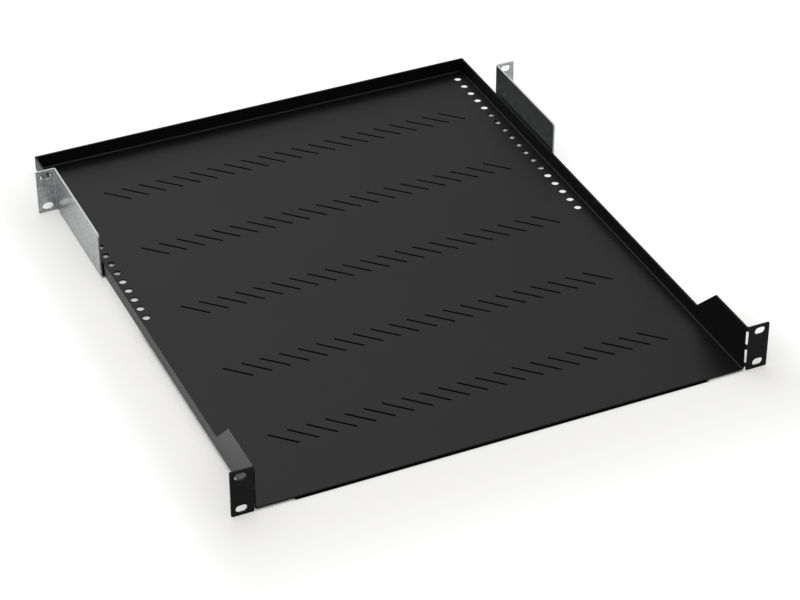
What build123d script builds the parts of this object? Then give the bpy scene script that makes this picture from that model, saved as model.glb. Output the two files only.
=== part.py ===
from build123d import *
import os
from math import radians, tan

# A one-unit rack shelf: one folded, perforated steel tray, and two
# galvanised angle brackets that carry its rear end in the rack.
#
# Frame, in millimetres: X runs across the rack, Y from the front ears to the
# rear lip, Z up. The origin is at the middle of the shelf's outline, at the
# level of the brackets' underside.

# Rack interface, the same on the tray's ears and on the brackets' ears
rack_width = 482.6  # over both ears
slot_inset = 8.75  # from an ear's outer edge to its slots' centres
slot_pitch = 31.75  # from the lower slot's centre to the upper one's
slot_length = 10.0  # end to end, across the rack
slot_height = 7.0
ear_height = 44.0  # one rack unit, less its clearance
ear_reach = 20.05  # from the tray's side to an ear's outer edge
ear_corner_radius = 1.0

# Tray
tray_depth = 550.0  # from the ears' front face to the rear lip's outer face
tray_sheet = 1.5
tray_bend_radius = 1.2  # inside radius of every fold
rim_height = 15.0  # outer height of the low sides and of the rear lip
cheek_length = 53.0  # level top of the tall front end of each side
cheek_slope = 45.0  # degrees, from the cheek down to the low side
floor_setback = 2.0  # from the ears' front face to the floor's front edge
lip_corner_radius = 1.2  # ground weld at the two rear corners

# Relief at the foot of each front ear's fold, beside the floor's fold
relief_into_ear = 0.85  # beyond the tray's side
relief_headroom = 1.0  # above the side's fold

# Pair of windows that weaken each front ear's fold line
window_length = 14.0
window_width = 2.2
window_pitch = 18.5
window_centre = 23.5  # middle of the pair, above the ear's lower edge

# Diagonal slits in the floor
slit_length = 28.0  # end to end
slit_width = 2.0
slit_angle = -45.0  # from the rear left towards the front right
slit_pitch = 17.0  # from slit to slit in a row
slit_row_pitch = 100.0
slit_front_margin = 74.0  # from the ears' front face to the first row
slit_rear_margin = 76.0  # least distance from the last row to the rear lip
slit_left_margin = 54.5  # from the tray's left side to the first slit
slit_right_margin = 48.0  # least distance from the last slit to the right side

# Rows of round holes along both sides, for the brackets' screws
hole_diameter = 7.0
hole_pitch = 15.0
hole_count = 18
hole_inset = 11.75  # from the tray's side
hole_rear_margin = 14.5  # from the rear lip's outer face

# Rear brackets
bracket_sheet = 1.5
bracket_bend_radius = 0.5  # inside radius of both folds
bracket_side_gap = 1.25  # between the tray's side and the bracket's web
flange_width = 28.0  # outer width of the flange under the tray
bracket_hole_count = 7
free_holes_behind = 5  # tray holes behind the bracket's rearmost one
bracket_front_margin = 13.5  # from its front hole to its front end
bracket_rear_margin = 9.5  # from its rear hole to the end of its flange
ear_relief_length = 7.5  # from the end of its flange to its ear's front face
ear_relief_headroom = 2.0  # above the flange's fold
tapped_hole_diameter = 4.2  # core of the thread
web_corner_radius = 4.0
flange_corner_radius = 3.0

# Places that follow from the sizes
rack_half = rack_width / 2
tray_half = rack_half - ear_reach
front = -tray_depth / 2
rear = tray_depth / 2
underside = bracket_sheet  # the tray lies on the brackets' flanges
tray_fold = tray_bend_radius + tray_sheet
bracket_fold = bracket_bend_radius + bracket_sheet
rim_top = underside + rim_height
ear_top = underside + ear_height
fold_top = underside + tray_fold
slot_x = rack_half - slot_inset
slot_z = underside + ear_height / 2
hole_x = tray_half - hole_inset
last_hole_y = rear - hole_rear_margin
overlap = 1.0  # how far joined forms run into each other, and cuts past a face


def folded_section(plane, points, sheet, bend_radius):
    """Section of a folded sheet whose outer side runs through the points,
    with the sheet's thickness on the left of them and the bend radius
    inside its folds."""
    with BuildSketch(plane) as section:
        with BuildLine():
            outer_side = FilletPolyline(*points, radius=bend_radius + sheet)
            offset(outer_side, amount=sheet, side=Side.LEFT, mode=Mode.ADD)
        make_face()
    return section.sketch


def rack_slots(face_y):
    """The two slots of a right-hand ear whose front face is at face_y."""
    with BuildSketch(Plane.XZ.offset(-face_y)) as slots:
        with Locations((slot_x, slot_z)):
            with GridLocations(1, slot_pitch, 1, 2):
                SlotOverall(slot_length, slot_height)
    return slots.sketch


def fit_count(length, pitch):
    """How many copies at a pitch fit on a length, both ends included."""
    return int(length / pitch + 1e-6) + 1


# Right front ear, its fold, and the tall cheek behind it
slope_run = (ear_height - rim_height) / tan(radians(cheek_slope))
cheek_foot = front + cheek_length + slope_run

with BuildPart() as ear_and_cheek:
    ear_path = [
        (tray_half - tray_sheet, front + tray_fold + overlap),
        (tray_half - tray_sheet, front),
        (rack_half, front),
    ]
    ear_plane = Plane.XY.offset(underside)
    ear_section = folded_section(ear_plane, ear_path, tray_sheet, tray_bend_radius)
    extrude(ear_section, amount=ear_height)
    outer_edges = edges().filter_by(Axis.Y).group_by(Axis.X)[-1]
    fillet(outer_edges, radius=ear_corner_radius)
    extrude(rack_slots(front), amount=-tray_sheet - overlap, mode=Mode.SUBTRACT)

    with BuildSketch(Plane.YZ.offset(tray_half - tray_sheet)):
        with BuildLine():
            Polyline(
                (front + tray_fold, fold_top),
                (front + tray_fold, ear_top),
                (front + cheek_length, ear_top),
                (cheek_foot, rim_top),
                (cheek_foot, fold_top),
                close=True,
            )
        make_face()
    extrude(amount=tray_sheet)

    # Windows through the fold, looking along its diagonal
    fold_corner = Plane(
        origin=(tray_half - tray_sheet, front, underside + window_centre),
        x_dir=(0, 0, 1),
        z_dir=(1, 1, 0),
    )
    with BuildSketch(fold_corner):
        with GridLocations(window_pitch, 1, 2, 1):
            Rectangle(window_length, window_width)
    extrude(amount=2 * tray_fold, mode=Mode.SUBTRACT)

    # Relief at the foot of the fold
    with Locations((tray_half + relief_into_ear, front, underside)):
        Box(
            2 * tray_fold,
            2 * (tray_fold + overlap),
            2 * (tray_fold + relief_headroom),
            align=(Align.MAX, Align.CENTER, Align.CENTER),
            mode=Mode.SUBTRACT,
        )

# Weld that closes the foot of the right rear corner, where two folds meet
fold_centre = (tray_half - tray_fold, rear - tray_fold, fold_top)

with BuildPart() as corner_hollow:
    with Locations(fold_centre):
        Cylinder(tray_bend_radius, 2 * tray_bend_radius, rotation=(90, 0, 0))
        Cylinder(
            tray_bend_radius,
            2 * tray_bend_radius,
            rotation=(0, 90, 0),
            mode=Mode.INTERSECT,
        )

with BuildPart() as corner_weld:
    with Locations(fold_centre):
        Box(tray_fold, tray_fold, tray_fold, align=(Align.MIN, Align.MIN, Align.MAX))
    outer_edge = edges().filter_by(Axis.Z).group_by(Axis.X)[-1].sort_by(Axis.Y)[-1]
    fillet(outer_edge, radius=lip_corner_radius)
    with Locations(fold_centre):
        Cylinder(tray_fold, 2 * tray_fold, rotation=(90, 0, 0), mode=Mode.INTERSECT)
        Cylinder(tray_fold, 2 * tray_fold, rotation=(0, 90, 0), mode=Mode.INTERSECT)
    add(corner_hollow.part, mode=Mode.SUBTRACT)

with BuildPart() as tray:
    # Floor and low sides, folded from one width of sheet
    channel_path = [
        (-tray_half, rim_top),
        (-tray_half, underside),
        (tray_half, underside),
        (tray_half, rim_top),
    ]
    channel_plane = Plane.XZ.offset(tray_fold - rear)
    channel_section = folded_section(channel_plane, channel_path, tray_sheet, tray_bend_radius)
    extrude(channel_section, amount=tray_depth - tray_fold - floor_setback)

    # Room above the sides' folds for the ears' folds
    with Locations((0, front, fold_top)):
        Box(
            rack_width,
            2 * tray_fold,
            rim_height,
            align=(Align.CENTER, Align.CENTER, Align.MIN),
            mode=Mode.SUBTRACT,
        )

    # Rear lip, folded up between the sides
    lip_path = [
        (rear - tray_fold - overlap, underside),
        (rear, underside),
        (rear, rim_top),
    ]
    lip_plane = Plane.YZ.offset(tray_fold - tray_half)
    lip_section = folded_section(lip_plane, lip_path, tray_sheet, tray_bend_radius)
    extrude(lip_section, amount=2 * (tray_half - tray_fold))

    # Upright ends of the sides and of the lip, closed at the corners
    with BuildSketch(Plane.XY.offset(fold_top)):
        with Locations((0, rear)):
            Rectangle(2 * tray_half, tray_fold, align=(Align.CENTER, Align.MAX))
        with Locations((0, rear - tray_sheet)):
            Rectangle(
                2 * (tray_half - tray_sheet),
                tray_fold - tray_sheet,
                align=(Align.CENTER, Align.MAX),
                mode=Mode.SUBTRACT,
            )
    extrude(amount=rim_top - fold_top)
    corner_edges = edges().filter_by(Axis.Z).group_by(Axis.Y)[-1]
    fillet(corner_edges, radius=lip_corner_radius)

    for part in (corner_weld.part, ear_and_cheek.part):
        add(part)
        mirror(part, about=Plane.YZ)

    # Slits and bracket holes, all cut through the floor
    slit_columns = fit_count(2 * tray_half - slit_left_margin - slit_right_margin, slit_pitch)
    slit_rows = fit_count(tray_depth - slit_front_margin - slit_rear_margin, slit_row_pitch)
    slit_field_x = slit_left_margin - tray_half + slit_pitch * (slit_columns - 1) / 2
    slit_field_y = front + slit_front_margin + slit_row_pitch * (slit_rows - 1) / 2
    hole_field_y = last_hole_y - hole_pitch * (hole_count - 1) / 2
    with BuildSketch(Plane.XY.offset(underside - overlap)):
        with Locations((slit_field_x, slit_field_y)):
            with GridLocations(slit_pitch, slit_row_pitch, slit_columns, slit_rows):
                Rectangle(slit_length, slit_width, rotation=slit_angle)
        with Locations((0, hole_field_y)):
            with GridLocations(2 * hole_x, hole_pitch, 2, hole_count):
                Circle(hole_diameter / 2)
    extrude(amount=tray_sheet + 2 * overlap, mode=Mode.SUBTRACT)

tray.part.label = "shelf_tray"

# Rear bracket, placed by the tray holes that its own holes meet
web_outer_x = tray_half + bracket_side_gap + bracket_sheet
rear_hole_y = last_hole_y - hole_pitch * free_holes_behind
front_hole_y = rear_hole_y - hole_pitch * (bracket_hole_count - 1)
bracket_front = front_hole_y - bracket_front_margin
flange_end = rear_hole_y + bracket_rear_margin
ear_front = flange_end + ear_relief_length
ear_back = ear_front + bracket_sheet
relief_top = bracket_fold + ear_relief_headroom

with BuildPart() as right_bracket:
    # Flange under the tray and web beside it
    angle_path = [
        (web_outer_x - flange_width, 0),
        (web_outer_x, 0),
        (web_outer_x, ear_top),
    ]
    angle_plane = Plane.XZ.offset(-flange_end)
    angle_section = folded_section(
        angle_plane, angle_path, bracket_sheet, bracket_bend_radius
    )
    extrude(angle_section, amount=flange_end - bracket_front)
    inner_corners = edges().filter_by(Axis.Z).group_by(Axis.X)[0]
    fillet(inner_corners, radius=flange_corner_radius)
    top_edges = edges().filter_by(Axis.X).group_by(Axis.Z)[-1]
    fillet(top_edges.sort_by(Axis.Y)[0], radius=web_corner_radius)

    # Ear, folded outwards at the web's rear end
    rear_ear_path = [
        (rack_half, ear_back),
        (web_outer_x - bracket_sheet, ear_back),
        (web_outer_x - bracket_sheet, flange_end - overlap),
    ]
    rear_ear_plane = Plane.XY.offset(underside)
    rear_ear_section = folded_section(
        rear_ear_plane, rear_ear_path, bracket_sheet, bracket_bend_radius
    )
    extrude(rear_ear_section, amount=ear_height)
    outer_edges = edges().filter_by(Axis.Y).group_by(Axis.X)[-1]
    fillet(outer_edges, radius=ear_corner_radius)
    extrude(rack_slots(ear_front), amount=-bracket_sheet - overlap, mode=Mode.SUBTRACT)

    # Relief in the web's foot, between the flange's fold and the ear's
    with Locations((web_outer_x, flange_end, 0)):
        Box(
            2 * bracket_sheet + overlap,
            ear_back - bracket_fold - flange_end,
            relief_top,
            align=(Align.CENTER, Align.MIN, Align.MIN),
            mode=Mode.SUBTRACT,
        )

    # Tapped holes, under the tray's round holes
    with BuildSketch(Plane.XY.offset(-overlap)):
        with Locations((hole_x, (front_hole_y + rear_hole_y) / 2)):
            with GridLocations(1, hole_pitch, 1, bracket_hole_count):
                Circle(tapped_hole_diameter / 2)
    extrude(amount=bracket_sheet + 2 * overlap, mode=Mode.SUBTRACT)

right_bracket.part.label = "right_rear_bracket"

with BuildPart() as left_bracket:
    mirror(right_bracket.part, about=Plane.YZ)

left_bracket.part.label = "left_rear_bracket"

os.makedirs("parts", exist_ok=True)
export_step(tray.part, "parts/shelf_tray.step")
export_step(left_bracket.part, "parts/left_rear_bracket.step")
export_step(right_bracket.part, "parts/right_rear_bracket.step")
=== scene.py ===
"""Dresses the perforated rack shelf: powder coat, zinc, tapped holes, and a plain studio."""

from math import cos, radians, sin

import bmesh
import bpy
from bpy.props import FloatProperty, FloatVectorProperty, IntProperty, PointerProperty
from mathutils import Matrix, Vector


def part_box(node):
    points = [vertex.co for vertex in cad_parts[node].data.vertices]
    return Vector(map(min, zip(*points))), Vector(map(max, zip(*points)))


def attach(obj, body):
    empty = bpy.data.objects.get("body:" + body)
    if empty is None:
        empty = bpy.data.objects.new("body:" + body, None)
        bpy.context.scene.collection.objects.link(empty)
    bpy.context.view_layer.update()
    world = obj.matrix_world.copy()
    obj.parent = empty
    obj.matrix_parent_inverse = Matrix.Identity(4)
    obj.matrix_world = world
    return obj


bl_info = {
    "name": "Perforated Rack Shelf",
    "version": (1, 0, 0),
    "blender": (4, 5, 0),
    "location": "3D View > Sidebar > Rack Shelf",
    "description": "Finishes, tapped holes and studio for a perforated rack shelf",
    "category": "Object",
}

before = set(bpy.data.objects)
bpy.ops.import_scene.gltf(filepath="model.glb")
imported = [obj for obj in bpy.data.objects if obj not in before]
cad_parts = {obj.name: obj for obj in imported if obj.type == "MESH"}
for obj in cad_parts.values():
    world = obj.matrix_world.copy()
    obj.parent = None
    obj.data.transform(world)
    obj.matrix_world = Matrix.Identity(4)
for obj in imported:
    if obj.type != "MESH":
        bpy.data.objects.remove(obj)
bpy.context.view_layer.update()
bracket_low, bracket_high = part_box("right_rear_bracket")
shelf_low, shelf_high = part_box("shelf_tray")

MM = 0.001
SENSOR_WIDTH = 36.0  # millimetres, as Blender's lenses are given


# Node trees


class Wire:
    """One output socket, with arithmetic that adds Math nodes to its tree."""

    def __init__(self, tree, node, socket):
        self.tree = tree
        self.node = node
        self.socket = socket

    def __getitem__(self, output):
        return Wire(self.tree, self.node, self.node.outputs[output])

    def maths(self, operation, first, second):
        return self.tree.node("ShaderNodeMath", {"operation": operation}, {0: first, 1: second})

    def __add__(self, other):
        return self.maths("ADD", self, other)

    def __radd__(self, other):
        return self.maths("ADD", other, self)

    def __sub__(self, other):
        return self.maths("SUBTRACT", self, other)

    def __rsub__(self, other):
        return self.maths("SUBTRACT", other, self)

    def __mul__(self, other):
        return self.maths("MULTIPLY", self, other)

    def __rmul__(self, other):
        return self.maths("MULTIPLY", other, self)

    def __truediv__(self, other):
        return self.maths("DIVIDE", self, other)

    def __rtruediv__(self, other):
        return self.maths("DIVIDE", other, self)


class Tree:
    """A node tree that is written one node at a time."""

    def __init__(self, tree):
        self.tree = tree
        self.tree.nodes.clear()

    def node(self, kind, settings=None, sockets=None):
        """Adds a node: its settings first, then the values or wires of its sockets."""
        made = self.tree.nodes.new(kind)
        for name, value in (settings or {}).items():
            setattr(made, name, value)
        for key, value in (sockets or {}).items():
            if isinstance(value, Wire):
                self.tree.links.new(value.socket, made.inputs[key])
            else:
                made.inputs[key].default_value = value
        shown = [output for output in made.outputs if output.enabled]
        return Wire(self, made, shown[0] if shown else None)

    def blend_colours(self, factor, first, second):
        """Colour between two, by a factor from 0 to 1."""
        return self.node(
            "ShaderNodeMix",
            {"data_type": "RGBA"},
            {"Factor": factor, 6: first, 7: second},
        )

    def ramp(self, value, low, high):
        """The value's way from low to high, as 0 to 1, held at both ends."""
        return self.node(
            "ShaderNodeMapRange",
            {"interpolation_type": "SMOOTHSTEP"},
            {"Value": value, "From Min": low, "From Max": high},
        )

    def noise(self, place, scale, detail, roughness=0.5):
        """Noise from 0 to 1 in a number of waves to the metre."""
        return self.node(
            "ShaderNodeTexNoise",
            None,
            {"Vector": place, "Scale": scale, "Detail": detail, "Roughness": roughness},
        )

    def relief(self, height, distance, edge_radius):
        """Normals of a fine relief that runs softly round the edges."""
        rounded = self.node("ShaderNodeBevel", {"samples": 6}, {"Radius": edge_radius})
        return self.node(
            "ShaderNodeBump",
            None,
            {"Height": height, "Distance": distance, "Strength": 1.0, "Normal": rounded},
        )


def new_material(name):
    """A material with an empty node tree, and that tree."""
    material = bpy.data.materials.new(name)
    material.use_nodes = True
    return material, Tree(material.node_tree)


def paint_node(name, material):
    """Puts a material in every slot of a CAD node."""
    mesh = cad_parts[name].data
    mesh.materials.clear()
    mesh.materials.append(material)


def rgba(colour):
    return (*colour, 1.0)


def grey(tone):
    return (tone, tone, tone, 1.0)


def add_object(name, data):
    thing = bpy.data.objects.new(name, data)
    bpy.context.scene.collection.objects.link(thing)
    return thing


# Settings


class PowderCoatSettings(bpy.types.PropertyGroup):
    colour: FloatVectorProperty(
        name="Colour",
        description="Pigment of the powder coat",
        subtype="COLOR",
        size=3,
        min=0.0,
        max=1.0,
        default=(0.0008, 0.0008, 0.0009),
    )
    roughness: FloatProperty(
        name="Roughness",
        description="Satin of the coat",
        min=0.05,
        max=1.0,
        default=0.38,
    )
    edge_radius: FloatProperty(
        name="Edge radius",
        description="How softly the coat flows round the sheet's cut edges",
        unit="LENGTH",
        default=0.15 * MM,
    )
    peel_size: FloatProperty(
        name="Orange peel size",
        description="Width of the coat's fine ripples",
        unit="LENGTH",
        default=1.6 * MM,
    )
    peel_height: FloatProperty(
        name="Orange peel height",
        description="Height of the coat's fine ripples",
        unit="LENGTH",
        default=0.014 * MM,
    )
    patches: FloatProperty(
        name="Patches",
        description="Patches of duller or brighter coat in a metre",
        min=0.0,
        default=22.0,
    )
    patch_strength: FloatProperty(
        name="Patch strength",
        description="How much the roughness varies from patch to patch",
        subtype="FACTOR",
        min=0.0,
        max=1.0,
        default=0.08,
    )
    refraction: FloatProperty(
        name="Refraction",
        description="Refractive index of the coat's binder",
        min=1.0,
        default=1.36,
    )


class ZincSettings(bpy.types.PropertyGroup):
    colour: FloatVectorProperty(
        name="Colour",
        description="Mean colour of the galvanised sheet",
        subtype="COLOR",
        size=3,
        min=0.0,
        max=1.0,
        default=(0.41, 0.425, 0.425),
    )
    contrast: FloatProperty(
        name="Contrast",
        description="How much one crystal differs from the next in tone",
        subtype="FACTOR",
        min=0.0,
        max=1.0,
        default=0.4,
    )
    speckle_size: FloatProperty(
        name="Speckle size",
        description="Width of the bright grains in the zinc",
        unit="LENGTH",
        default=1.7 * MM,
    )
    speckle_tone: FloatProperty(
        name="Speckle tone",
        description="How much brighter the grains are than the zinc round them",
        subtype="FACTOR",
        min=0.0,
        max=1.0,
        default=0.75,
    )
    spangle_size: FloatProperty(
        name="Spangle size",
        description="Width of one zinc crystal",
        unit="LENGTH",
        default=2.2 * MM,
    )
    wander: FloatProperty(
        name="Wander",
        description="How far the crystals' borders wander",
        unit="LENGTH",
        default=2.0 * MM,
    )
    roughness: FloatProperty(
        name="Roughness",
        description="Mean roughness of the zinc",
        min=0.05,
        max=1.0,
        default=0.24,
    )
    crystal_gloss: FloatProperty(
        name="Crystal gloss",
        description="How much the roughness varies from crystal to crystal",
        subtype="FACTOR",
        min=0.0,
        max=1.0,
        default=0.03,
    )
    metallic: FloatProperty(
        name="Metallic",
        description="How far the zinc shines as bare metal",
        subtype="FACTOR",
        min=0.0,
        max=1.0,
        default=0.94,
    )
    grain_height: FloatProperty(
        name="Grain height",
        description="How far the grains stand out of the zinc",
        unit="LENGTH",
        default=0.005 * MM,
    )
    edge_radius: FloatProperty(
        name="Edge radius",
        description="Burr of the sheared edges",
        unit="LENGTH",
        default=0.2 * MM,
    )
    # Partly the torn metal's own colour, partly a painted highlight on the top edges; the
    # brackets below the tray's underside take it too.
    edge_metal_and_highlight_colour: FloatVectorProperty(
        name="Edge colour",
        description="Bright metal of the sheared top edges and of the rubbed flanges",
        subtype="COLOR",
        size=3,
        min=0.0,
        max=1.0,
        default=(0.56, 0.56, 0.56),
    )
    edge_width: FloatProperty(
        name="Edge width",
        description="Reach of the bright metal down from the top edges",
        unit="LENGTH",
        default=0.3 * MM,
    )
    edge_matt: FloatProperty(
        name="Edge matt",
        description="How much duller than the zinc the torn metal of the top edges is",
        subtype="FACTOR",
        min=0.0,
        max=1.0,
        default=0.7,
    )
    edge_roughness: FloatProperty(
        name="Edge roughness",
        description="Roughness that the torn metal adds",
        subtype="FACTOR",
        min=0.0,
        max=1.0,
        default=0.2,
    )


class ThreadSettings(bpy.types.PropertyGroup):
    core_diameter: FloatProperty(
        name="Core diameter",
        description="Diameter of the tapped holes in the brackets' flanges",
        unit="LENGTH",
        default=4.2 * MM,
    )
    ridge: FloatProperty(
        name="Ridge",
        description="How far a thread stands into its hole",
        unit="LENGTH",
        default=0.22 * MM,
    )
    pitch: FloatProperty(
        name="Pitch",
        description="Rise of the thread in one turn",
        unit="LENGTH",
        default=0.8 * MM,
    )
    count: IntProperty(
        name="Holes",
        description="Tapped holes in one bracket",
        min=1,
        default=7,
    )
    hole_pitch: FloatProperty(
        name="Hole pitch",
        description="Distance from hole to hole",
        unit="LENGTH",
        default=15.0 * MM,
    )
    side_inset: FloatProperty(
        name="Side inset",
        description="From the rack ear's outer edge to the holes' centres",
        unit="LENGTH",
        default=31.8 * MM,
    )
    front_margin: FloatProperty(
        name="Front margin",
        description="From a bracket's front end to its first hole",
        unit="LENGTH",
        default=13.5 * MM,
    )
    sheet: FloatProperty(
        name="Sheet",
        description="Thickness of the brackets' sheet",
        unit="LENGTH",
        default=1.5 * MM,
    )


class StudioSettings(bpy.types.PropertyGroup):
    floor_radius: FloatProperty(
        name="Floor radius",
        description="Reach of the plain floor round the shelf",
        unit="LENGTH",
        default=12.0,
    )
    floor_glow: FloatProperty(
        name="Floor glow",
        description="Share of the floor's white that is its own, as on a light table",
        subtype="FACTOR",
        min=0.0,
        max=1.0,
        default=0.5,
    )
    # Painted light seen through the holes: the floor below the rows of holes glows, the left row
    # less.
    painted_hole_glow: FloatProperty(
        name="Hole glow",
        description="The same share in the strips of floor below the rows of holes",
        subtype="FACTOR",
        min=0.0,
        max=1.0,
        default=0.85,
    )
    left_painted_hole_glow: FloatProperty(
        name="Left hole glow",
        description="Glow below the left row of holes, as a share of the right row's",
        subtype="FACTOR",
        min=0.0,
        max=1.0,
        default=0.65,
    )
    lit_tone: FloatProperty(
        name="Lit tone",
        description="Tone of the lit floor as the metal mirrors it",
        subtype="FACTOR",
        min=0.0,
        max=1.0,
        default=0.85,
    )
    shade_tone: FloatProperty(
        name="Shade tone",
        description="Tone of the shaded floor as the metal mirrors it",
        subtype="FACTOR",
        min=0.0,
        max=1.0,
        default=0.33,
    )
    shade_start: FloatProperty(
        name="Shade start",
        description="How far in front of the shelf's middle the floor falls into shade",
        unit="LENGTH",
        default=0.25,
    )
    shade_depth: FloatProperty(
        name="Shade depth",
        description="Length of the floor's way into shade",
        unit="LENGTH",
        default=0.02,
    )
    floor_colour: FloatVectorProperty(
        name="Floor colour",
        description="Colour of the plain floor",
        subtype="COLOR",
        size=3,
        min=0.0,
        max=1.0,
        default=(1.0, 1.0, 1.0),
    )
    # Painted shadow: the floor close to the shelf is painted this darker colour.
    painted_shadow_colour: FloatVectorProperty(
        name="Near colour",
        description="Colour of the floor close to the shelf",
        subtype="COLOR",
        size=3,
        min=0.0,
        max=1.0,
        default=(0.83, 0.825, 0.815),
    )
    painted_shadow_shift: FloatProperty(
        name="Near shift",
        description="How far the floor's darker part lies to the front and to the left",
        unit="LENGTH",
        default=0.05,
    )
    side_shadow_reach: FloatProperty(
        name="Near reach",
        description="How far beside the shelf the floor has turned plain white",
        unit="LENGTH",
        default=0.06,
    )
    front_shadow_reach: FloatProperty(
        name="Front reach",
        description="The same in front of the shelf",
        unit="LENGTH",
        default=0.14,
    )
    surroundings: FloatProperty(
        name="Surroundings",
        description="Brightness of the room's left side at eye level",
        min=0.0,
        default=0.64,
    )
    ceiling: FloatProperty(
        name="Ceiling",
        description="Brightness of the room overhead",
        min=0.0,
        default=1.5,
    )
    far_side: FloatProperty(
        name="Far side",
        description="Brightness of the room's right side, as a share of its left",
        subtype="FACTOR",
        min=0.0,
        max=1.0,
        default=0.5,
    )
    overhead: FloatProperty(
        name="Overhead light",
        description="Power of the large soft light above the shelf",
        min=0.0,
        default=5.0,
    )
    overhead_size: FloatProperty(
        name="Overhead size",
        description="Side of the large soft light",
        unit="LENGTH",
        default=1.6,
    )
    overhead_place: FloatVectorProperty(
        name="Overhead place",
        description="Where the large soft light hangs",
        subtype="XYZ",
        unit="LENGTH",
        size=3,
        default=(0.3, 0.5, 1.9),
    )
    lens: FloatProperty(
        name="Lens",
        description="Focal length on a 36 mm wide sensor",
        default=120.49,
    )
    azimuth: FloatProperty(
        name="Azimuth",
        description="Camera's turn about the shelf, from straight in front",
        subtype="ANGLE",
        default=radians(-24.39),
    )
    elevation: FloatProperty(
        name="Elevation",
        description="Camera's height over the shelf, as an angle",
        subtype="ANGLE",
        default=radians(34.97),
    )
    roll: FloatProperty(
        name="Roll",
        description="Camera's turn about its own view",
        subtype="ANGLE",
        default=radians(-0.16),
    )
    distance: FloatProperty(
        name="Distance",
        description="From the camera to the point it looks at",
        unit="LENGTH",
        default=2.3316,
    )
    target: FloatVectorProperty(
        name="Target",
        description="The point that the camera looks at",
        subtype="XYZ",
        unit="LENGTH",
        size=3,
        default=(1.007 * MM, -60.107 * MM, 1.5 * MM),
    )


class RackShelfSettings(bpy.types.PropertyGroup):
    coat: PointerProperty(type=PowderCoatSettings, name="Powder coat")
    zinc: PointerProperty(type=ZincSettings, name="Zinc")
    thread: PointerProperty(type=ThreadSettings, name="Thread")
    studio: PointerProperty(type=StudioSettings, name="Studio")


# Finishes


def powder_coat(settings):
    """Satin black powder coat: soft edges and fine orange peel."""
    material, tree = new_material("black_powder_coat")
    place = tree.node("ShaderNodeTexCoord")["Object"]
    ripples = tree.noise(place, 1 / settings.peel_size, 2.0, 0.55)
    patches = tree.noise(place, settings.patches, 3.0)
    satin = settings.roughness + (patches - 0.5) * settings.patch_strength
    surface = tree.node(
        "ShaderNodeBsdfPrincipled",
        None,
        {
            "Base Color": rgba(settings.colour),
            "Roughness": satin,
            "IOR": settings.refraction,
            "Normal": tree.relief(ripples, settings.peel_height, settings.edge_radius),
        },
    )
    tree.node("ShaderNodeOutputMaterial", None, {"Surface": surface})
    return material


def galvanised_steel(settings):
    """Hot-dip zinc: a mosaic of crystals that differ a little in tone and gloss."""
    material, tree = new_material("galvanised_steel")
    place = tree.node("ShaderNodeTexCoord")["Object"]
    wander = tree.noise(place, 0.6 / settings.spangle_size, 2.0)
    bent = tree.node(
        "ShaderNodeVectorMath",
        {"operation": "MULTIPLY_ADD"},
        {0: wander["Color"], 1: (settings.wander, settings.wander, settings.wander), 2: place},
    )
    crystals = tree.node(
        "ShaderNodeTexVoronoi",
        None,
        {"Vector": bent, "Scale": 1 / settings.spangle_size},
    )
    tone = tree.node("ShaderNodeSeparateColor", None, {"Color": crystals["Color"]})
    grain = tree.noise(place, 1 / settings.speckle_size, 3.0, 0.6)
    plain_grain, bright_grain = 0.54, 0.66
    speckles = tree.ramp(grain, plain_grain, bright_grain) * settings.speckle_tone
    crystal_share, grain_share, offset = 0.45, 0.9, 0.4
    mottle = tone["Red"] * crystal_share + grain * grain_share + speckles - offset
    dark = [channel * (1 - settings.contrast) for channel in settings.colour]
    pale = [min(channel * (1 + settings.contrast), 1.0) for channel in settings.colour]
    zinc = tree.blend_colours(mottle, rgba(dark), rgba(pale))
    height = tree.node("ShaderNodeSeparateXYZ", None, {"Vector": place})["Z"]
    # The top edges are painted lighter: partly torn metal, partly a painted highlight. The
    # brackets' parts below the tray's underside are painted lighter as well.
    edges = tree.ramp(height, bracket_high.z - settings.edge_width, bracket_high.z)
    flange = 1 - tree.ramp(height, shelf_low.z, shelf_low.z + settings.edge_width)
    colour = tree.blend_colours(edges + flange, zinc, rgba(settings.edge_metal_and_highlight_colour))
    gloss = (tone["Green"] - 0.5) * settings.crystal_gloss
    roughness = settings.roughness + gloss + edges * settings.edge_roughness
    surface = tree.node(
        "ShaderNodeBsdfPrincipled",
        None,
        {
            "Base Color": colour,
            "Metallic": (1 - edges * settings.edge_matt) * settings.metallic,
            "Roughness": roughness,
            "Normal": tree.relief(grain, settings.grain_height, settings.edge_radius),
        },
    )
    tree.node("ShaderNodeOutputMaterial", None, {"Surface": surface})
    return material


class RACKSHELF_OT_coat_tray(bpy.types.Operator):
    """Give the folded tray its black powder coat"""

    bl_idname = "rackshelf.coat_tray"
    bl_label = "Coat the tray"

    def execute(self, context):
        paint_node("shelf_tray", powder_coat(context.scene.rack_shelf.coat))
        return {"FINISHED"}


class RACKSHELF_OT_galvanise_brackets(bpy.types.Operator):
    """Give both rear brackets their zinc"""

    bl_idname = "rackshelf.galvanise_brackets"
    bl_label = "Galvanise the brackets"

    def execute(self, context):
        zinc = galvanised_steel(context.scene.rack_shelf.zinc)
        for name in ("left_rear_bracket", "right_rear_bracket"):
            paint_node(name, zinc)
        return {"FINISHED"}


# Threads


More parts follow.
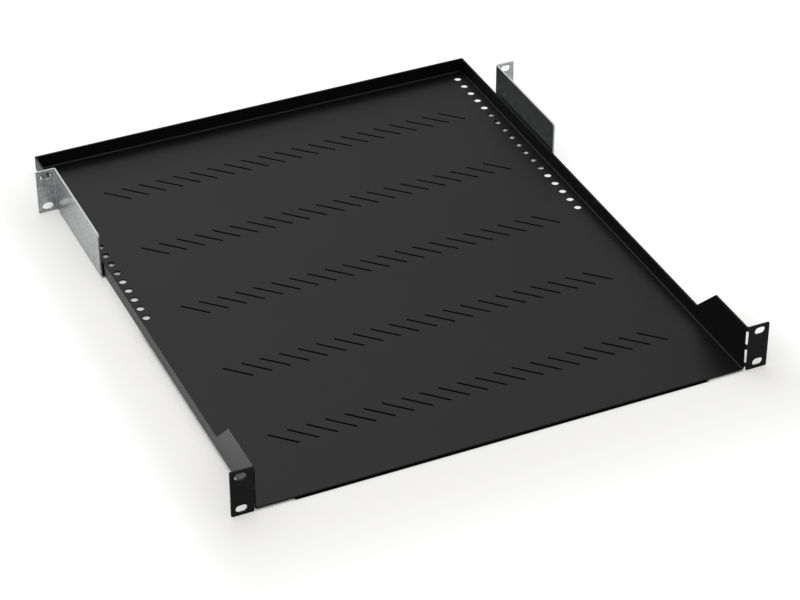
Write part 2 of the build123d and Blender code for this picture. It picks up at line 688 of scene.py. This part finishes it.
def thread_nodes():
    """Geometry Nodes that lay one helical ridge in every tapped hole."""
    group = bpy.data.node_groups.new("tapped_holes", "GeometryNodeTree")
    lengths = ("Radius", "Ridge", "Pitch", "Height", "Hole Pitch", "Side Place", "Front Place")
    kinds = {name: "Float" for name in lengths}
    kinds.update({"Count": "Int", "Zinc": "Material"})
    inputs = {
        name: group.interface.new_socket(
            name=name, in_out="INPUT", socket_type="NodeSocket" + kind
        )
        for name, kind in kinds.items()
    }
    group.interface.new_socket(name="Geometry", in_out="OUTPUT", socket_type="NodeSocketGeometry")
    tree = Tree(group)
    given = tree.node("NodeGroupInput")

    def point(x, y, z):
        return tree.node("ShaderNodeCombineXYZ", None, {"X": x, "Y": y, "Z": z})

    steps_per_turn = 20
    ridge_sides = 4
    rise = given["Height"] - given["Ridge"] * 2
    helix = tree.node(
        "GeometryNodeCurveSpiral",
        None,
        {
            "Resolution": steps_per_turn,
            "Rotations": rise / given["Pitch"],
            "Start Radius": given["Radius"],
            "End Radius": given["Radius"],
            "Height": rise,
        },
    )
    ridge_shape = tree.node(
        "GeometryNodeCurvePrimitiveCircle",
        None,
        {"Resolution": ridge_sides, "Radius": given["Ridge"]},
    )
    ridge = tree.node(
        "GeometryNodeCurveToMesh",
        None,
        {"Curve": helix, "Profile Curve": ridge_shape, "Fill Caps": True},
    )
    row = tree.node(
        "GeometryNodeMeshLine",
        None,
        {
            "Count": given["Count"],
            "Start Location": point(given["Side Place"], given["Front Place"], given["Ridge"]),
            "Offset": point(0.0, given["Hole Pitch"], 0.0),
        },
    )
    other_row = tree.node(
        "GeometryNodeTransform",
        None,
        {"Geometry": row, "Translation": point(given["Side Place"] * -2, 0.0, 0.0)},
    )
    both_rows = tree.node("GeometryNodeJoinGeometry")
    for rows in (row, other_row):
        group.links.new(rows.socket, both_rows.node.inputs[0])
    placed = tree.node(
        "GeometryNodeInstanceOnPoints", None, {"Points": both_rows, "Instance": ridge}
    )
    made_real = tree.node("GeometryNodeRealizeInstances", None, {"Geometry": placed})
    painted = tree.node(
        "GeometryNodeSetMaterial", None, {"Geometry": made_real, "Material": given["Zinc"]}
    )
    tree.node("NodeGroupOutput", None, {"Geometry": painted})
    return group, inputs


def settle_mesh(thing, name):
    """Keeps what an object's modifiers make as its plain mesh, and removes them."""
    evaluated = thing.evaluated_get(bpy.context.evaluated_depsgraph_get())
    mesh = bpy.data.meshes.new_from_object(evaluated)
    mesh.name = name
    thing.modifiers.clear()
    thing.data = mesh


class RACKSHELF_OT_tap_holes(bpy.types.Operator):
    """Lay the threads in the brackets' tapped holes"""

    bl_idname = "rackshelf.tap_holes"
    bl_label = "Tap the holes"

    def execute(self, context):
        settings = context.scene.rack_shelf.thread
        zinc = bpy.data.materials.get("galvanised_steel")
        if zinc is None:
            raise RuntimeError("galvanise the brackets before their holes are tapped")
        threads = add_object("bracket_threads", bpy.data.meshes.new("bracket_threads"))
        group, inputs = thread_nodes()
        modifier = threads.modifiers.new("threads", "NODES")
        modifier.node_group = group
        values = {
            "Radius": settings.core_diameter / 2,
            "Ridge": settings.ridge,
            "Pitch": settings.pitch,
            "Height": settings.sheet,
            "Hole Pitch": settings.hole_pitch,
            "Side Place": bracket_high.x - settings.side_inset,
            "Front Place": bracket_low.y + settings.front_margin,
            "Count": settings.count,
            "Zinc": zinc,
        }
        for name, value in values.items():
            modifier[inputs[name].identifier] = value
        settle_mesh(threads, "bracket_threads")
        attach(threads, "root")
        return {"FINISHED"}


# Studio


def painted_floor_shadow(tree, place, settings):
    """Painted shadow on the floor: from 0 on the open floor to 1 round the shelf, drawn to its
    front and left.
    """
    shift = settings.painted_shadow_shift
    drift_low, drift_high = -0.25, -0.05
    drift = tree.ramp(place["Y"], drift_low, drift_high) * shift
    shadow_share = 1.0
    for off, start, reach in (
        (place["X"] + drift, drift * -1 + shelf_high.x, settings.side_shadow_reach),
        (place["Y"] + shift, shelf_high.y - shift, settings.front_shadow_reach),
    ):
        end = start + reach
        shadow_share = (1 - tree.ramp(off * off, start * start, end * end)) * shadow_share
    return shadow_share


def tray_shares(tree, place):
    """The floor's share under the tray, and its share out to the sides, past the slits."""
    rim = 1.5 * MM
    side_low, side_high = 221.5 * MM, 222.5 * MM
    outer_low, outer_high = 185.0 * MM, 190.0 * MM
    along = tree.ramp(place["Y"], shelf_low.y, shelf_low.y + rim)
    along = (1 - tree.ramp(place["Y"], shelf_high.y - rim, shelf_high.y)) * along
    across = place["X"] * place["X"]
    under = (1 - tree.ramp(across, side_low ** 2, side_high ** 2)) * along
    outer = tree.ramp(across, outer_low ** 2, outer_high ** 2)
    return under, outer


def own_glow(tree, place, under, outer, settings):
    """The floor's own share of its white: none under the tray, but painted light below its rows
    of holes, less below the left row.
    """
    front_low, front_high = -20.0 * MM, 0.0
    rear_low, rear_high = 266.0 * MM, 268.0 * MM
    blend_reach = 100.0 * MM
    # Painted light: strips of floor below the rows of holes glow to the camera, so the holes look
    # lit.
    strips = tree.ramp(place["Y"], front_low, front_high) * outer
    strips = (1 - tree.ramp(place["Y"], rear_low, rear_high)) * strips
    left = settings.left_painted_hole_glow
    strips = (tree.ramp(place["X"], -blend_reach, blend_reach) * (1 - left) + left) * strips
    return (1 - under) * settings.floor_glow + under * strips * settings.painted_hole_glow


def floor_finish(settings):
    """Plain pale floor, lit from within to the camera, with a painted shade in front of the shelf
    as mirrors see it, a painted shadow round the shelf and painted black shade under the slits.
    """
    material, tree = new_material("studio_floor")
    rays = tree.node("ShaderNodeLightPath")
    place = tree.node("ShaderNodeTexCoord")["Object"]
    place = tree.node("ShaderNodeSeparateXYZ", None, {"Vector": place})
    shade_end = -settings.shade_start - settings.shade_depth
    lit = tree.ramp(place["Y"], shade_end, -settings.shade_start)
    mirrored = tree.blend_colours(lit, grey(settings.shade_tone), grey(settings.lit_tone))
    # The floor's white, with a painted shadow round the shelf.
    white = tree.blend_colours(
        painted_floor_shadow(tree, place, settings),
        rgba(settings.floor_colour),
        rgba(settings.painted_shadow_colour),
    )
    under, outer = tray_shares(tree, place)
    colour = tree.blend_colours(rays["Is Glossy Ray"], white, mirrored)
    # Painted shade: the floor under the tray, but for the strips below the rows of holes, is
    # painted black.
    colour = tree.blend_colours((1 - outer) * under, colour, grey(0.0))
    ground = tree.node(
        "ShaderNodeBsdfPrincipled",
        None,
        {"Base Color": colour, "Specular IOR Level": 0.0},
    )
    glow = tree.node(
        "ShaderNodeBsdfPrincipled",
        None,
        {
            "Base Color": grey(0.0),
            "Specular IOR Level": 0.0,
            "Emission Color": white,
            "Emission Strength": 1.0,
        },
    )
    glowing = rays["Is Camera Ray"] * own_glow(tree, place, under, outer, settings)
    surface = tree.node("ShaderNodeMixShader", None, {0: glowing, 1: ground, 2: glow})
    tree.node("ShaderNodeOutputMaterial", None, {"Surface": surface})
    return material


def make_floor(settings):
    mesh = bpy.data.meshes.new("studio_floor")
    shape = bmesh.new()
    bmesh.ops.create_circle(
        shape, cap_ends=True, segments=64, radius=settings.floor_radius
    )
    shape.to_mesh(mesh)
    shape.free()
    floor = add_object("studio_floor", mesh)
    mesh.materials.append(floor_finish(settings))


def make_surroundings(settings):
    """White room to the camera, and for light brighter overhead and dimmer on the right."""
    world = bpy.data.worlds.new("pale_room")
    world.use_nodes = True
    bpy.context.scene.world = world
    tree = Tree(world.node_tree)
    seen = tree.node("ShaderNodeLightPath")["Is Camera Ray"]
    outward = tree.node("ShaderNodeTexCoord")["Generated"]
    heading = tree.node("ShaderNodeSeparateXYZ", None, {"Vector": outward})
    fall_start, fall_end = 0.15, 0.55
    fall = tree.ramp(heading["X"], fall_start, fall_end) * (1 - settings.far_side)
    rise_start, rise_end = 0.5, 0.64
    rise = tree.ramp(heading["Z"], rise_start, rise_end)
    rise = rise * (settings.ceiling - settings.surroundings)
    light = (1 - fall) * (rise + settings.surroundings)
    strength = seen + (1 - seen) * light
    room = tree.node(
        "ShaderNodeBackground", None, {"Color": grey(1.0), "Strength": strength}
    )
    tree.node("ShaderNodeOutputWorld", None, {"Surface": room})


def make_lamp(settings):
    """One large soft light that looks at the shelf and isn't mirrored in it."""
    lamp = bpy.data.lights.new("overhead_light", "AREA")
    lamp.shape = "SQUARE"
    lamp.size = settings.overhead_size
    lamp.energy = settings.overhead
    holder = add_object("overhead_light", lamp)
    holder.visible_glossy = False
    place = Vector(settings.overhead_place)
    holder.location = place
    holder.rotation_euler = (-place).to_track_quat("-Z", "Y").to_euler()


def make_camera(settings):
    back = Vector(
        (
            sin(settings.azimuth) * cos(settings.elevation),
            -cos(settings.azimuth) * cos(settings.elevation),
            sin(settings.elevation),
        )
    )
    across = Vector((0, 0, 1)).cross(back).normalized()
    upward = back.cross(across)
    level = Matrix((across, upward, back)).transposed()
    turned = level @ Matrix.Rotation(settings.roll, 3, "Z")
    lens = bpy.data.cameras.new("camera")
    lens.sensor_width = SENSOR_WIDTH
    lens.lens = settings.lens
    lens.clip_end = 5 * settings.floor_radius
    camera = add_object("camera", lens)
    camera.matrix_world = turned.to_4x4()
    camera.location = Vector(settings.target) + back * settings.distance
    bpy.context.scene.camera = camera


class RACKSHELF_OT_set_stage(bpy.types.Operator):
    """Set up the plain floor, the soft light and the camera"""

    bl_idname = "rackshelf.set_stage"
    bl_label = "Set the stage"

    def execute(self, context):
        settings = context.scene.rack_shelf.studio
        context.scene.view_settings.view_transform = "Standard"
        make_floor(settings)
        make_surroundings(settings)
        make_lamp(settings)
        make_camera(settings)
        return {"FINISHED"}


class RACKSHELF_PT_sidebar(bpy.types.Panel):
    """Finishes, tapped holes and studio"""

    bl_idname = "RACKSHELF_PT_sidebar"
    bl_label = "Rack Shelf"
    bl_space_type = "VIEW_3D"
    bl_region_type = "UI"
    bl_category = "Rack Shelf"

    def draw(self, context):
        settings = context.scene.rack_shelf
        for part, operator in (
            (settings.coat, RACKSHELF_OT_coat_tray),
            (settings.zinc, RACKSHELF_OT_galvanise_brackets),
            (settings.thread, RACKSHELF_OT_tap_holes),
            (settings.studio, RACKSHELF_OT_set_stage),
        ):
            box = self.layout.box()
            for name in part.__annotations__:
                box.prop(part, name)
            box.operator(operator.bl_idname)


classes = (
    PowderCoatSettings,
    ZincSettings,
    ThreadSettings,
    StudioSettings,
    RackShelfSettings,
    RACKSHELF_OT_coat_tray,
    RACKSHELF_OT_galvanise_brackets,
    RACKSHELF_OT_tap_holes,
    RACKSHELF_OT_set_stage,
    RACKSHELF_PT_sidebar,
)


def register():
    for cls in classes:
        bpy.utils.register_class(cls)
    bpy.types.Scene.rack_shelf = PointerProperty(type=RackShelfSettings)


def unregister():
    del bpy.types.Scene.rack_shelf
    for cls in reversed(classes):
        bpy.utils.unregister_class(cls)


def main():
    register()
    bpy.ops.rackshelf.coat_tray()
    bpy.ops.rackshelf.galvanise_brackets()
    bpy.ops.rackshelf.tap_holes()
    bpy.ops.rackshelf.set_stage()


if __name__ == "__main__":
    main()
